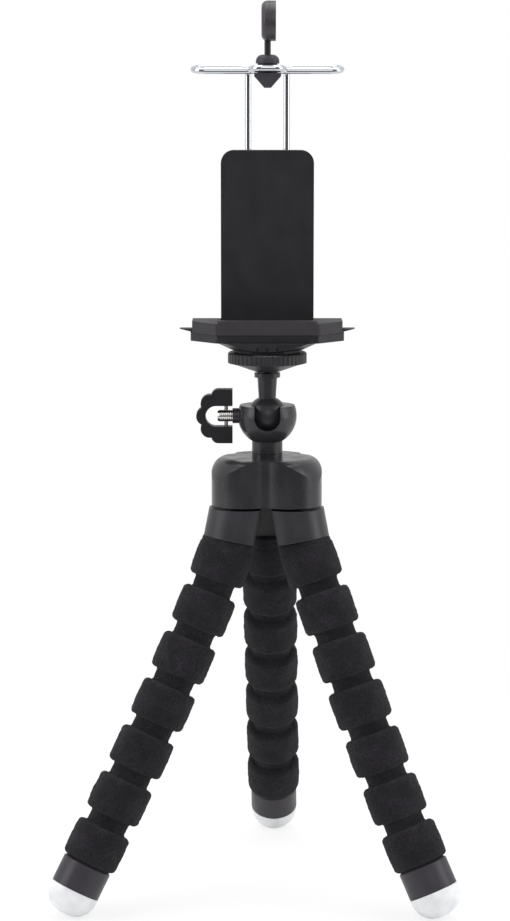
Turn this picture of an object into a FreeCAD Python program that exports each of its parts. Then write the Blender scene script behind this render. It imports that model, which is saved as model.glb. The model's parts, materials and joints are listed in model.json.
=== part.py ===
"""Phone tripod: three jointed foam legs, a ball head and a sprung device clip.

The object stands on its three feet at z = 0, under the centre of the hub.
+X is to the right seen from the front, +Y points away from the viewer and
+Z is up. All sizes are in millimetres and degrees.
"""
import FreeCAD, Part
import math
import os

import Sketcher
from FreeCAD import Placement, Rotation, Vector

# Sizes

SIZES = {
    "hub": {
        "hub_base": 125.1,
        "hub_rise": 15.7,
        "hub_boss": 1.1,
        "hub_turn": -2.5,
        "lobe_offset": 8.2,
        "lobe_radius": 10.2,
        "lobe_blend": 3.0,
        "shoulder_round": 4.4,
        "shoulder_side_round": 8.5,
        "shoulder_drop": 4.9,
        "shoulder_run": 3.1,
        "hub_hollow_radius": 11.5,
        "hub_hollow_depth": 2.4,
        "fork_inner": 2.0,
        "fork_depth": 8.6,
        "fork_swing": 1.5,
        "hub_bolt_radius": 1.5,
        "hub_bolt_head": 3.0,
        "hub_bolt_head_thick": 1.6,
        "hub_bolt_engage": 3.4,
        "hub_deck": 5.6,
    },
    "leg hinge": {
        "pin_radius": 1.5,
        "pin_half": 5.4,
        "pin_offset": 6.5,
        "pin_rise": 4.4,
        "knuckle_radius": 3.5,
        "knuckle_half": 2.9,
        "cuff_tilt": 12.5,
        "cuff_gap": 0.8,
        "cuff_step": 0.5,
        "cuff_split": 0.75,
        "cuff_inner": 3.2,
        "leg_offset": 9.9,
        "cuff_reach": 16.5,
        "cuff_socket": 4.0,
    },
    "leg": {
        "bead_radius": 8.6,
        "bead_tall": 11.8,
        "bead_round": 1.85,
        "first_groove": 1.7,
        "left_groove": 4.22,
        "right_groove": 3.76,
        "rear_groove": 3.95,
        "tube_radius": 6.3,
        "core_radius": 1.6,
        "core_grip": 9.0,
        "cap_radius": 7.8,
        "cap_tall": 9.0,
        "cap_edge": 0.7,
        "cap_socket": 5.5,
        "foot_radius": 7.8,
        "foot_tall": 8.0,
        "foot_round": 6.6,
        "foot_plug_radius": 4.5,
        "foot_plug_tall": 2.4,
    },
    "ball head": {
        "ball_rise": 27.5,
        "ball_radius": 6.3,
        "cup_radius": 9.25,
        "cup_rim": 3.4,
        "cup_neck_radius": 4.8,
        "cup_slot_half": 3.95,
        "cup_boss_radius": 2.4,
        "cup_boss_reach": 10.9,
        "stem_low_radius": 2.7,
        "stem_high_radius": 3.1,
        "stem_top": 12.2,
        "collar_radius": 4.05,
        "collar_thick": 1.4,
        "clamp_radius": 1.9,
        "clamp_tip": 7.5,
        "clamp_tail": 15.6,
        "shoe_radius": 1.9,
        "cross_pin_radius": 0.6,
        "cross_pin_offset": 12.9,
        "cross_pin_half": 6.0,
        "wing_thick": 4.2,
        "wing_arm_end": 10.9,
        "wing_back": 22.3,
        "wing_half": 8.5,
        "wing_mouth": 3.25,
        "wing_mouth_centre": 16.1,
        "wing_lobe": 2.9,
        "wing_corner": 2.2,
    },
    "lock disc": {
        "disc_radius": 12.35,
        "disc_low": 16.3,
        "disc_thick": 3.8,
        "disc_cone": 2.2,
        "disc_nose": 4.1,
        "rib_count": 48,
        "rib_groove": 0.45,
        "thread_radius": 3.175,
        "thread_sink": 6.0,
        "pad_radius": 10.35,
        "pad_thick": 0.9,
    },
    "clip": {
        "base_low_half": 11.5,
        "base_foot_half": 15.7,
        "base_cone_half": 17.0,
        "base_lap": 1.2,
        "base_foot_tall": 2.6,
        "base_half": 24.0,
        "base_front": 10.5,
        "base_side_front": 1.0,
        "base_back": 9.9,
        "base_thick": 2.5,
        "base_flutes": 24,
        "base_flute": 0.5,
        "shelf_half": 23.5,
        "shelf_thick": 3.6,
        "shelf_lip_half": 15.4,
        "shelf_lip_rise": 0.8,
        "shelf_lip_thick": 3.0,
        "shelf_over": 0.4,
        "shelf_wing": 27.4,
        "shelf_wing_low": 0.1,
        "shelf_wing_top": 2.5,
        "spine_half": 14.5,
        "spine_front": 2.4,
        "spine_tall": 59.0,
        "spine_round": 4.0,
        "cavity_floor": 7.4,
        "cavity_cap": 8.0,
        "cover_half": 13.4,
        "cover_thick": 1.2,
        "cover_screw_radius": 1.0,
        "cover_screw_head": 1.7,
        "cover_screw_long": 5.0,
        "cover_head_thick": 0.8,
        "cover_screw_half": 10.0,
        "cover_screw_inset": 1.8,
        "insert_radius": 4.6,
        "insert_tall": 4.2,
    },
    "bow": {
        "wire_radius": 1.0,
        "rod_half": 6.0,
        "rod_behind": 6.3,
        "rod_foot_rise": 30.7,
        "rod_rise": 84.3,
        "bow_inset": 1.2,
        "bow_front": 1.0,
        "bow_drop": 1.0,
        "rod_bend": 2.4,
        "eye_mouth": 1.4,
        "eye_tight": 1.2,
        "eye_side": 5.3,
        "eye_side_out": 4.0,
        "eye_side_rise": 0.4,
        "eye_side_bend": 2.2,
        "eye_end": 4.1,
        "eye_end_out": 9.6,
        "eye_end_rise": 0.7,
        "eye_end_bend": 3.0,
        "eye_centre": 5.35,
        "block_half": 9.5,
        "block_tall": 5.0,
        "block_half_deep": 1.9,
        "spring_wall": 0.6,
        "plug_radius": 3.0,
        "plug_dome_radius": 3.6,
        "plug_dome_low": 0.05,
        "plug_lift": 0.4,
        "plug_dome_tall": 2.7,
        "plug_dome_round": 2.0,
        "hook_half": 4.1,
        "hook_back": 6.9,
        "hook_drop": 4.0,
        "hook_thick": 3.2,
        "hook_flange": 0.5,
    },
    "mirror": {
        "post_radius": 0.98,
        "post_sink": 3.0,
        "post_tall": 5.0,
        "post_grip": 1.0,
        "mirror_radius": 6.1,
        "mirror_thick": 4.4,
        "mirror_shift": 0.3,
        "mirror_rim": 0.7,
        "mirror_dome": 1.9,
        "glass_thick": 1.0,
    },
    "clearances": {
        "turn_gap": 0.05,
        "seat_gap": 0.05,
        "slide_gap": 0.15,
        "soft_gap": 0.1,
        "side_gap": 0.15,
    },
}

# Places that follow from the sizes
LINKED = {
    "ball_centre": "hub_base + ball_rise",
    "base_flat": "ball_centre + disc_low + disc_thick + pad_thick + 2 * seat_gap + base_foot_tall",
    "cavity_top": "spine_tall - cavity_cap",
    "rod_foot": "base_flat + rod_foot_rise",
    "rod_top": "base_flat + rod_rise",
    "bow_half": "base_half - bow_inset",
}

# Azimuth, splay of the first and last bead from vertical, and how late the leg curls
LEGS = {
    "left": (210.0, 22.0, 29.5, 0.5),
    "right": (330.0, 23.2, 28.0, 4.0),
    "rear": (90.0, 24.0, 24.6, 4.0),
}
BEADS = 7

doc = FreeCAD.newDocument("PhoneTripod")
sheet = doc.addObject("Spreadsheet::Sheet", "Sizes")
size = {}
row = 1
for group, cells in SIZES.items():
    sheet.set(f"A{row}", group)
    row += 1
    for alias, number in cells.items():
        sheet.set(f"A{row}", alias)
        sheet.set(f"B{row}", str(number))
        sheet.setAlias(f"B{row}", alias)
        size[alias] = number
        row += 1
doc.recompute()


def formula(text):
    """Expression text with each size name pointed at its cell."""
    words = []
    for word in text.replace("(", "( ").replace(")", " )").split():
        if word in LINKED:
            words.append("( " + formula(LINKED[word]) + " )")
        else:
            words.append("Sizes." + word if word in size else word)
    return " ".join(words)


def worth(text):
    """Value of such an expression."""
    return float(sheet.evalExpression(formula(text)))


def bind(thing, **formulas):
    for name, text in formulas.items():
        thing.setExpression(name, formula(text))


def stand(thing, x="0", y="0", z="0", turn=Rotation()):
    """Place an object at three formulas, turned first."""
    thing.Placement = Placement(Vector(worth(x), worth(y), worth(z)), turn)
    for name, text in (("x", x), ("y", y), ("z", z)):
        thing.setExpression(f"Placement.Base.{name}", formula(text))


# Shape helpers: bodies, sketches and features

pieces = []


def keep(thing, label):
    """Make the object a sub-part with this name."""
    thing.Label = label
    pieces.append(thing)
    return thing


def new_body(label, **at):
    body = keep(doc.addObject("PartDesign::Body", label), label)
    stand(body, **at)
    return body


def new_sketch(body, role, lift="0"):
    """Sketch on one of the body's own planes, lifted off it by a formula."""
    sketch = body.newObject("Sketcher::SketchObject", "Profile")
    plane = next(o for o in body.Origin.OriginFeatures if o.Role == role)
    sketch.AttachmentSupport = [(plane, "")]
    sketch.MapMode = "FlatFace"
    sketch.setExpression("AttachmentOffset.Base.z", formula(lift))
    return sketch


def fix_point(sketch, ref, point, x, y):
    """Hold a sketch point at two formulas from the sketch's origin."""
    for kind, axis, number, text in (("DistanceX", -2, point.x, x), ("DistanceY", -1, point.y, y)):
        if abs(number) < 1e-9:
            sketch.addConstraint(Sketcher.Constraint("PointOnObject", *ref, axis))
        else:
            index = sketch.addConstraint(Sketcher.Constraint(kind, -1, 1, *ref, number))
            sketch.setExpression(f"Constraints[{index}]", formula(text))


def outline(body, role, corners, lift="0"):
    """Closed outline through (x, y) or (x, y, rounding) formulas."""
    sketch = new_sketch(body, role, lift)
    points = [Vector(worth(c[0]), worth(c[1]), 0) for c in corners]
    count = len(points)
    ends = []
    for i, corner in enumerate(corners):
        point = points[i]
        if len(corner) == 2:
            ends.append((point, point, None))
            continue
        back = (points[i - 1] - point).normalize()
        onward = (points[(i + 1) % count] - point).normalize()
        half = back.getAngle(onward) / 2
        radius = worth(corner[2])
        centre = point + (back + onward).normalize() * (radius / math.sin(half))
        trim = radius / math.tan(half)
        middle = centre + (point - centre).normalize() * radius
        ends.append((point + back * trim, point + onward * trim, middle))
    lines = []
    for i in range(count):
        edge = Part.LineSegment(ends[i][1], ends[(i + 1) % count][0])
        lines.append(sketch.addGeometry(edge))
    for i, corner in enumerate(corners):
        before, after = lines[i - 1], lines[i]
        start, stop, middle = ends[i]
        if middle is None:
            sketch.addConstraint(Sketcher.Constraint("Coincident", before, 2, after, 1))
            fix_point(sketch, (after, 1), points[i], corner[0], corner[1])
            continue
        arc = sketch.addGeometry(Part.Arc(start, middle, stop))
        forward = sketch.Geometry[arc].StartPoint.distanceToPoint(start) < 1e-6
        first, last = (1, 2) if forward else (2, 1)
        sketch.addConstraint(Sketcher.Constraint("Tangent", before, 2, arc, first))
        sketch.addConstraint(Sketcher.Constraint("Tangent", arc, last, after, 1))
        index = sketch.addConstraint(Sketcher.Constraint("Radius", arc, worth(corner[2])))
        sketch.setExpression(f"Constraints[{index}]", formula(corner[2]))
        mark = sketch.addGeometry(Part.Point(points[i]), True)
        sketch.addConstraint(Sketcher.Constraint("PointOnObject", mark, 1, before))
        sketch.addConstraint(Sketcher.Constraint("PointOnObject", mark, 1, after))
        fix_point(sketch, (mark, 1), points[i], corner[0], corner[1])
    return sketch


def circles(body, role, *rounds, lift="0"):
    """Sketch of full circles, each (x, y, radius) formulas."""
    sketch = new_sketch(body, role, lift)
    for x, y, radius in rounds:
        centre = Vector(worth(x), worth(y), 0)
        index = sketch.addGeometry(Part.Circle(centre, Vector(0, 0, 1), worth(radius)))
        if centre.Length < 1e-9:
            sketch.addConstraint(Sketcher.Constraint("Coincident", index, 3, -1, 1))
        else:
            fix_point(sketch, (index, 3), centre, x, y)
        hold = sketch.addConstraint(Sketcher.Constraint("Radius", index, worth(radius)))
        sketch.setExpression(f"Constraints[{hold}]", formula(radius))
    return sketch


def feature(body, kind, sketch, **formulas):
    """Pad, Pocket, Revolution or Groove of a sketch, checked to change the body."""
    doc.recompute()
    before = body.Shape.Volume if body.Tip else 0.0
    made = body.newObject("PartDesign::" + kind, kind)
    made.Profile = sketch
    if kind in ("Revolution", "Groove"):
        made.ReferenceAxis = (sketch, ["V_Axis"])
        made.Angle = 360
    for name in [n for n in formulas if n in ("Midplane", "Reversed", "SideType")]:
        setattr(made, name, formulas.pop(name))
    bind(made, **formulas)
    doc.recompute()
    change = body.Shape.Volume - before
    wrong = change <= 0 if kind in ("Pad", "Revolution") else change >= 0
    if wrong:
        raise ValueError(f"{body.Label}: {kind} changes nothing")
    return made


def polar(body, originals, sketch, count):
    """Repeat features round the normal of a sketch on the XY plane."""
    pattern = body.newObject("PartDesign::PolarPattern", "Around")
    pattern.Originals = originals
    pattern.Axis = (sketch, ["N_Axis"])
    pattern.Angle = 360
    bind(pattern, Occurrences=count)
    body.Tip = pattern
    doc.recompute()
    return pattern


def soften(body, kind, radius, test):
    """Fillet or Chamfer the edges whose middle passes the test."""
    doc.recompute()
    base = body.Tip
    names = []
    for number, edge in enumerate(base.Shape.Edges, 1):
        middle = edge.valueAt((edge.FirstParameter + edge.LastParameter) / 2)
        if test(edge, middle):
            names.append(f"Edge{number}")
    if not names:
        raise ValueError(f"{body.Label}: no edge to soften")
    made = body.newObject("PartDesign::" + kind, kind)
    made.Base = (base, names)
    bind(made, **{"Radius" if kind == "Fillet" else "Size": radius})
    doc.recompute()
    return made


def turned(label, corners, **at):
    """Body of revolution about its own Z axis."""
    body = new_body(label, **at)
    feature(body, "Revolution", outline(body, "XZ_Plane", corners))
    return body


# Shape helpers: primitives and booleans

ALONG_X = Rotation(Vector(0, 1, 0), 90)
ALONG_Y = Rotation(Vector(1, 0, 0), -90)
UPRIGHT = Rotation()


def cylinder(radius, tall, x="0", y="0", z="0", turn=UPRIGHT):
    made = doc.addObject("Part::Cylinder", "Cylinder")
    bind(made, Radius=radius, Height=tall)
    stand(made, x, y, z, turn)
    return made


def cone(low, high, tall, x="0", y="0", z="0", turn=UPRIGHT):
    made = doc.addObject("Part::Cone", "Cone")
    bind(made, Radius1=low, Radius2=high, Height=tall)
    stand(made, x, y, z, turn)
    return made


def sphere(radius, x="0", y="0", z="0"):
    made = doc.addObject("Part::Sphere", "Sphere")
    bind(made, Radius=radius)
    stand(made, x, y, z)
    return made


def box(wide, deep, tall, x="0", y="0", z="0"):
    """Box whose lowest corner is at x, y, z."""
    made = doc.addObject("Part::Box", "Box")
    bind(made, Length=wide, Width=deep, Height=tall)
    stand(made, x, y, z)
    return made


def fuse(*things):
    made = doc.addObject("Part::MultiFuse", "Fuse")
    made.Shapes = list(things)
    made.Refine = True
    return made


def common(*things):
    made = doc.addObject("Part::MultiCommon", "Common")
    made.Shapes = list(things)
    return made


def cut(base, *tools):
    made = doc.addObject("Part::Cut", "Cut")
    made.Base = base
    made.Tool = tools[0] if len(tools) == 1 else fuse(*tools)
    return made


# Wires bent along a route

def route(points, bends):
    """Line and arc route through points, with a bend radius at each inner point."""
    edges = []
    start = points[0]
    for i in range(1, len(points)):
        point = points[i]
        if i == len(points) - 1 or bends[i - 1] is None:
            if i == len(points) - 1:
                edges.append(Part.LineSegment(start, point).toShape())
            continue
        back = (points[i - 1] - point).normalize()
        onward = (points[i + 1] - point).normalize()
        half = back.getAngle(onward) / 2
        radius = bends[i - 1]
        trim = radius / math.tan(half)
        centre = point + (back + onward).normalize() * (radius / math.sin(half))
        middle = centre + (point - centre).normalize() * radius
        if start.distanceToPoint(point + back * trim) > 1e-6:
            edges.append(Part.LineSegment(start, point + back * trim).toShape())
        edges.append(Part.Arc(point + back * trim, middle, point + onward * trim).toShape())
        start = point + onward * trim
    return Part.Wire(edges)


def pipe(path, radius):
    """Solid round bar of this radius along a route."""
    first = path.OrderedEdges[0]
    start = first.firstVertex().Point if first.Orientation == "Forward" else first.lastVertex().Point
    along = first.tangentAt(first.FirstParameter)
    section = Part.Wire([Part.Circle(start, along, radius).toShape()])
    return path.makePipeShell([section], True, True)


def shaped(label, shape):
    made = doc.addObject("Part::Feature", label)
    made.Shape = shape
    return keep(made, label)


# Hub: three lobes under one dome, hollow below, forked for the leg hinges

HUB_TALL = "hub_rise + hub_boss"
hub = new_body("hub", z="hub_base", turn=Rotation(Vector(0, 0, 1), size["hub_turn"]))
lobe = circles(hub, "XY_Plane", ("0", "lobe_offset", "lobe_radius"))
lobes = polar(hub, [feature(hub, "Pad", lobe, Length=HUB_TALL)], lobe, "3")
saddle = worth("sqrt( lobe_radius ^ 2 - 0.75 * lobe_offset ^ 2 ) + lobe_offset / 2")
soften(hub, "Fillet", "lobe_blend", lambda edge, middle: abs(math.hypot(middle.x, middle.y) - saddle) < 0.01
       and abs(middle.z - worth(HUB_TALL) / 2) < 0.01)
dome = outline(hub, "XZ_Plane", [
    ("lobe_offset + lobe_radius", "hub_rise - hub_boss - 2 * shoulder_drop"),
    ("lobe_offset + lobe_radius", "hub_rise - hub_boss - shoulder_drop", "shoulder_side_round"),
    ("lobe_offset + lobe_radius - shoulder_run", "hub_rise - hub_boss", "shoulder_round"),
    ("cup_neck_radius", "hub_rise - hub_boss"),
    ("cup_neck_radius", "hub_rise"),
    ("0", "hub_rise"),
    ("0", "hub_rise + 2 * hub_boss"),
    ("lobe_offset + lobe_radius + 3", "hub_rise + 2 * hub_boss"),
    ("lobe_offset + lobe_radius + 3", "hub_rise - hub_boss - 2 * shoulder_drop"),
])
feature(hub, "Groove", dome)
hollow = circles(hub, "XY_Plane", ("0", "0", "hub_hollow_radius"))
feature(hub, "Pocket", hollow, Length="hub_hollow_depth", Reversed=True)
fork = outline(hub, "XY_Plane", [
    ("- knuckle_half - side_gap", "fork_inner"),
    ("knuckle_half + side_gap", "fork_inner"),
    ("knuckle_half + side_gap", "pin_offset + knuckle_radius + fork_swing"),
    ("- knuckle_half - side_gap", "pin_offset + knuckle_radius + fork_swing"),
])
fork_cut = feature(hub, "Pocket", fork, Length="fork_depth", Reversed=True)
pin_hole = circles(hub, "YZ_Plane", ("pin_offset", "pin_rise", "pin_radius + turn_gap"))
pin_cut = feature(hub, "Pocket", pin_hole, Length="2 * pin_half + 2 * seat_gap", Midplane=True)
polar(hub, [fork_cut, pin_cut], fork, "3")
bolt_head = circles(hub, "XY_Plane", ("0", "0", "hub_bolt_head + 4 * side_gap"))
feature(hub, "Pocket", bolt_head, Length="hub_rise - hub_deck", Reversed=True)
bolt_hole = circles(hub, "XY_Plane", ("0", "0", "hub_bolt_radius + turn_gap"))
feature(hub, "Pocket", bolt_hole, Length=HUB_TALL, Reversed=True)

hub_bolt = turned("hub_bolt", [
    ("0", "- hub_bolt_head_thick"),
    ("hub_bolt_head", "- hub_bolt_head_thick"),
    ("hub_bolt_head", "0"),
    ("hub_bolt_radius", "0"),
    ("hub_bolt_radius", "hub_deck + hub_bolt_engage"),
    ("0", "hub_deck + hub_bolt_engage"),
], z="hub_base + hub_rise - hub_deck - seat_gap")

# Ball head: cup with a front slot, clamping screw and folding wing

CUP_FLOOR = "hub_base + hub_rise + seat_gap"
cup_shell = common(
    sphere("cup_radius", z="ball_centre"),
    cylinder("cup_radius", "cup_radius + cup_rim", z="ball_centre - cup_radius"),
)
cup_solid = fuse(
    cup_shell,
    cylinder("cup_neck_radius", "ball_centre - ball_radius - hub_base - hub_rise - seat_gap", z=CUP_FLOOR),
    cylinder("cup_boss_radius", "cup_boss_reach - ball_radius",
             "- cup_boss_reach", "0", "ball_centre", ALONG_X),
)
cup = keep(cut(
    cup_solid,
    sphere("ball_radius + turn_gap", z="ball_centre"),
    cylinder("cup_slot_half", "2 * cup_radius", "0", "- 2 * cup_radius", "ball_centre", ALONG_Y),
    box("2 * cup_slot_half", "2 * cup_radius", "cup_radius",
        "- cup_slot_half", "- 2 * cup_radius", "ball_centre"),
    cylinder("clamp_radius + turn_gap", "cup_boss_reach",
             "- cup_boss_reach - 1", "0", "ball_centre", ALONG_X),
    cylinder("hub_bolt_radius + turn_gap", "hub_bolt_engage + 2 * side_gap", z=CUP_FLOOR),
), "ball_socket")

keep(cut(
    cylinder("shoe_radius", "clamp_tip - seat_gap", "seat_gap - clamp_tip", "0", "ball_centre", ALONG_X),
    sphere("ball_radius + turn_gap", z="ball_centre"),
), "clamp_shoe")

keep(cut(
    cylinder("clamp_radius", "clamp_tail - clamp_tip", "- clamp_tail", "0", "ball_centre", ALONG_X),
    cylinder("cross_pin_radius + seat_gap", "4 * clamp_radius",
             "- cross_pin_offset", "0", "ball_centre - 2 * clamp_radius"),
), "clamp_screw")

keep(cylinder("cross_pin_radius", "2 * cross_pin_half", "- cross_pin_offset", "0",
              "ball_centre - cross_pin_half"), "knob_pin")

# The wing is a flat C: two arms astride the screw, with a scalloped back
wing_lobes = [cylinder("wing_lobe", "wing_thick",
                       "wing_lobe - wing_back", "- wing_thick / 2", "ball_centre", ALONG_Y)]
for side in ("+", "-"):
    wing_lobes.append(cylinder("wing_lobe", "wing_thick", "1.48 * wing_lobe - wing_back", "- wing_thick / 2",
                               f"ball_centre {side} 1.34 * wing_lobe", ALONG_Y))
    wing_lobes.append(cylinder("wing_corner", "wing_thick", "- wing_mouth_centre + wing_corner / 3",
                               "- wing_thick / 2", f"ball_centre {side} ( wing_half - wing_corner )", ALONG_Y))
wing = keep(cut(
    fuse(
        box("wing_mouth_centre - wing_arm_end", "wing_thick", "2 * wing_half",
            "- wing_mouth_centre + wing_corner / 3", "- wing_thick / 2", "ball_centre - wing_half"),
        box("wing_back - wing_arm_end - wing_lobe", "wing_thick", "2 * ( wing_half - wing_corner )",
            "wing_lobe - wing_back", "- wing_thick / 2", "ball_centre - wing_half + wing_corner"),
        *wing_lobes,
    ),
    box("wing_mouth_centre", "2 * wing_thick", "2 * wing_half", "- wing_arm_end", "- wing_thick",
        "ball_centre - wing_half"),
    cylinder("wing_mouth", "2 * wing_thick", "- wing_mouth_centre", "- wing_thick", "ball_centre", ALONG_Y),
    box("wing_mouth_centre", "2 * wing_thick", "2 * wing_mouth", "- wing_mouth_centre", "- wing_thick",
        "ball_centre - wing_mouth"),
    cylinder("cross_pin_radius + turn_gap", "2 * cross_pin_half + 2 * seat_gap",
             "- cross_pin_offset", "0", "ball_centre - cross_pin_half - seat_gap"),
), "wing_knob")

STEM_FOOT = "ball_centre + ball_radius * 0.9"
COLLAR = "ball_centre + stem_top"
keep(cut(
    fuse(
        sphere("ball_radius", z="ball_centre"),
        cone("stem_low_radius", "stem_high_radius", "stem_top - ball_radius * 0.9", z=STEM_FOOT),
        cylinder("collar_radius", "collar_thick", z=COLLAR),
    ),
    cylinder("thread_radius / 2 + seat_gap", "thread_sink + collar_thick",
             z="ball_centre + stem_top - thread_sink"),
), "ball_stud")

THREAD_TOP = "disc_low + disc_thick + pad_thick + 2 * seat_gap + insert_tall - 0.4"
screw = turned("camera_screw", [
    ("0", "stem_top + seat_gap - thread_sink"),
    ("thread_radius / 2", "stem_top + seat_gap - thread_sink"),
    ("thread_radius / 2", "stem_top + collar_thick + seat_gap"),
    ("thread_radius", "stem_top + collar_thick + seat_gap"),
    ("thread_radius", THREAD_TOP + " - 0.5"),
    ("thread_radius - 0.5", THREAD_TOP),
    ("0", THREAD_TOP),
], z="ball_centre")

# Ribbed lock disc and its rubber pad

disc = turned("lock_disc", [
    ("thread_radius + turn_gap", "- disc_cone"),
    ("disc_nose", "- disc_cone"),
    ("disc_radius - 2", "0"),
    ("disc_radius", "0.5"),
    ("disc_radius", "disc_thick - 0.4"),
    ("disc_radius - 0.4", "disc_thick"),
    ("thread_radius + turn_gap", "disc_thick"),
], z="ball_centre + disc_low")
rib = circles(disc, "XY_Plane", ("disc_radius + rib_groove / 2", "0", "rib_groove"))
rib_cut = feature(disc, "Pocket", rib, Length="disc_thick", Reversed=True)
polar(disc, [rib_cut], rib, "rib_count")

pad = turned("disc_pad", [
    ("thread_radius + turn_gap", "0"),
    ("pad_radius", "0"),
    ("pad_radius", "pad_thick"),
    ("thread_radius + turn_gap", "pad_thick"),
], z="ball_centre + disc_low + disc_thick + seat_gap")

# Clip: moulded base with a hollow spine behind the device

BASE_UNDER = "base_flat - base_foot_tall"
base = new_body("clip_base", z="base_flat")
plan = outline(base, "XY_Plane", [
    ("- base_foot_half", "- base_front", "2"),
    ("base_foot_half", "- base_front", "2"),
    ("base_half", "- base_side_front", "2"),
    ("base_half", "base_back", "1.5"),
    ("- base_half", "base_back", "1.5"),
    ("- base_half", "- base_side_front", "2"),
])
feature(base, "Pad", plan, Length="base_thick")
skirt = outline(base, "XZ_Plane", [
    ("0", "- base_foot_tall"),
    ("base_low_half", "- base_foot_tall"),
    ("base_cone_half", "0"),
    ("0", "0"),
])
feature(base, "Revolution", skirt)
for end, far in (("- base_front - base_lap", "- 2 * base_cone_half"),
                 ("base_back + base_lap", "2 * base_cone_half")):
    flat = outline(base, "XY_Plane", [
        ("- base_half", end),
        ("base_half", end),
        ("base_half", far),
        ("- base_half", far),
    ], lift="- base_foot_tall")
    feature(base, "Pocket", flat, Length="base_foot_tall", Reversed=True)
flute = circles(base, "XY_Plane", ("base_low_half + base_flute / 2", "0", "base_flute"),
                lift="- base_foot_tall")
flute_cut = feature(base, "Pocket", flute, Length="base_foot_tall / 2", Reversed=True)
polar(base, [flute_cut], flute, "base_flutes")
spine = outline(base, "XY_Plane", [
    ("- spine_half", "spine_front"),
    ("spine_half", "spine_front"),
    ("spine_half", "base_back"),
    ("- spine_half", "base_back"),
])
feature(base, "Pad", spine, Length="spine_tall")
soften(base, "Fillet", "spine_round", lambda edge, middle: abs(middle.z - worth("spine_tall")) < 0.01
       and abs(abs(middle.x) - worth("spine_half")) < 0.01)
cavity = outline(base, "XY_Plane", [
    ("- block_half - slide_gap", "rod_behind - block_half_deep - slide_gap"),
    ("block_half + slide_gap", "rod_behind - block_half_deep - slide_gap"),
    ("block_half + slide_gap", "base_back + 1"),
    ("- block_half - slide_gap", "base_back + 1"),
], lift="cavity_floor")
feature(base, "Pocket", cavity, Length="cavity_top - cavity_floor", Reversed=True)
rebate = outline(base, "XY_Plane", [
    ("- cover_half", "base_back - cover_thick"),
    ("cover_half", "base_back - cover_thick"),
    ("cover_half", "base_back + 1"),
    ("- cover_half", "base_back + 1"),
], lift="cavity_floor - 2 * cover_screw_inset")
feature(base, "Pocket", rebate, Length="cavity_top - cavity_floor + 4 * cover_screw_inset", Reversed=True)
rods = circles(base, "XY_Plane", ("rod_half", "rod_behind", "wire_radius + slide_gap"),
               ("- rod_half", "rod_behind", "wire_radius + slide_gap"), lift="cavity_top - 1")
feature(base, "Pocket", rods, Length="spine_tall - cavity_top + 2", Reversed=True)
nut_seat = circles(base, "XY_Plane", ("0", "0", "insert_radius + seat_gap"), lift="- base_foot_tall")
feature(base, "Pocket", nut_seat, Length="insert_tall", Reversed=True)
SCREW_SPOTS = []
for side in ("", "- "):
    for rise in ("cavity_floor - cover_screw_inset", "cavity_top + cover_screw_inset"):
        SCREW_SPOTS.append((side + "cover_screw_half", rise))
screw_holes = circles(base, "XZ_Plane", *[(x, z, "cover_screw_radius + seat_gap") for x, z in SCREW_SPOTS],
                      lift="- base_back - 1")
feature(base, "Pocket", screw_holes, Length="cover_screw_long + 1", Reversed=True)

cover = new_body("back_cover", z="base_flat")
cover_plan = outline(cover, "XZ_Plane", [
    ("seat_gap - cover_half", "cavity_floor - 2 * cover_screw_inset + seat_gap"),
    ("cover_half - seat_gap", "cavity_floor - 2 * cover_screw_inset + seat_gap"),
    ("cover_half - seat_gap", "cavity_top + 2 * cover_screw_inset - seat_gap"),
    ("seat_gap - cover_half", "cavity_top + 2 * cover_screw_inset - seat_gap"),
], lift="- base_back")
feature(cover, "Pad", cover_plan, Length="cover_thick - seat_gap")
cover_holes = circles(cover, "XZ_Plane", *[(x, z, "cover_screw_radius + seat_gap") for x, z in SCREW_SPOTS],
                      lift="- base_back - 1")
feature(cover, "Pocket", cover_holes, Length="cover_thick + 2", Reversed=True)

screws = []
for x, z in SCREW_SPOTS:
    screws.append(cylinder("cover_screw_radius", "cover_screw_long - seat_gap",
                           x, "base_back - cover_screw_long + seat_gap", "base_flat + " + z, ALONG_Y))
    screws.append(cylinder("cover_screw_head", "cover_head_thick",
                           x, "base_back + seat_gap", "base_flat + " + z, ALONG_Y))
keep(fuse(*[fuse(screws[i], screws[i + 1]) for i in range(0, len(screws), 2)]), "cover_screws")

turned("thread_insert", [
    ("thread_radius + turn_gap", "0"),
    ("insert_radius", "0"),
    ("insert_radius", "insert_tall - seat_gap"),
    ("thread_radius + turn_gap", "insert_tall - seat_gap"),
], z=BASE_UNDER)

# Rubber shelf under the device, with its front lip and pointed side wings

shelf = new_body("shelf_pad", z="base_flat + base_thick + seat_gap")
shelf_plan = outline(shelf, "XY_Plane", [
    ("- base_foot_half - shelf_over", "- base_front - shelf_over", "2"),
    ("base_foot_half + shelf_over", "- base_front - shelf_over", "2"),
    ("shelf_half", "- base_side_front - shelf_over", "1.5"),
    ("shelf_half", "base_back"),
    ("spine_half + seat_gap", "base_back"),
    ("spine_half + seat_gap", "spine_front - seat_gap"),
    ("- spine_half - seat_gap", "spine_front - seat_gap"),
    ("- spine_half - seat_gap", "base_back"),
    ("- shelf_half", "base_back"),
    ("- shelf_half", "- base_side_front - shelf_over", "1.5"),
])
feature(shelf, "Pad", shelf_plan, Length="shelf_thick")
lip = outline(shelf, "XY_Plane", [
    ("- shelf_lip_half", "- base_front - shelf_over", "1.5"),
    ("shelf_lip_half", "- base_front - shelf_over", "1.5"),
    ("shelf_lip_half", "shelf_lip_thick - base_front - shelf_over"),
    ("- shelf_lip_half", "shelf_lip_thick - base_front - shelf_over"),
])
feature(shelf, "Pad", lip, Length="shelf_thick + shelf_lip_rise")
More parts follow.
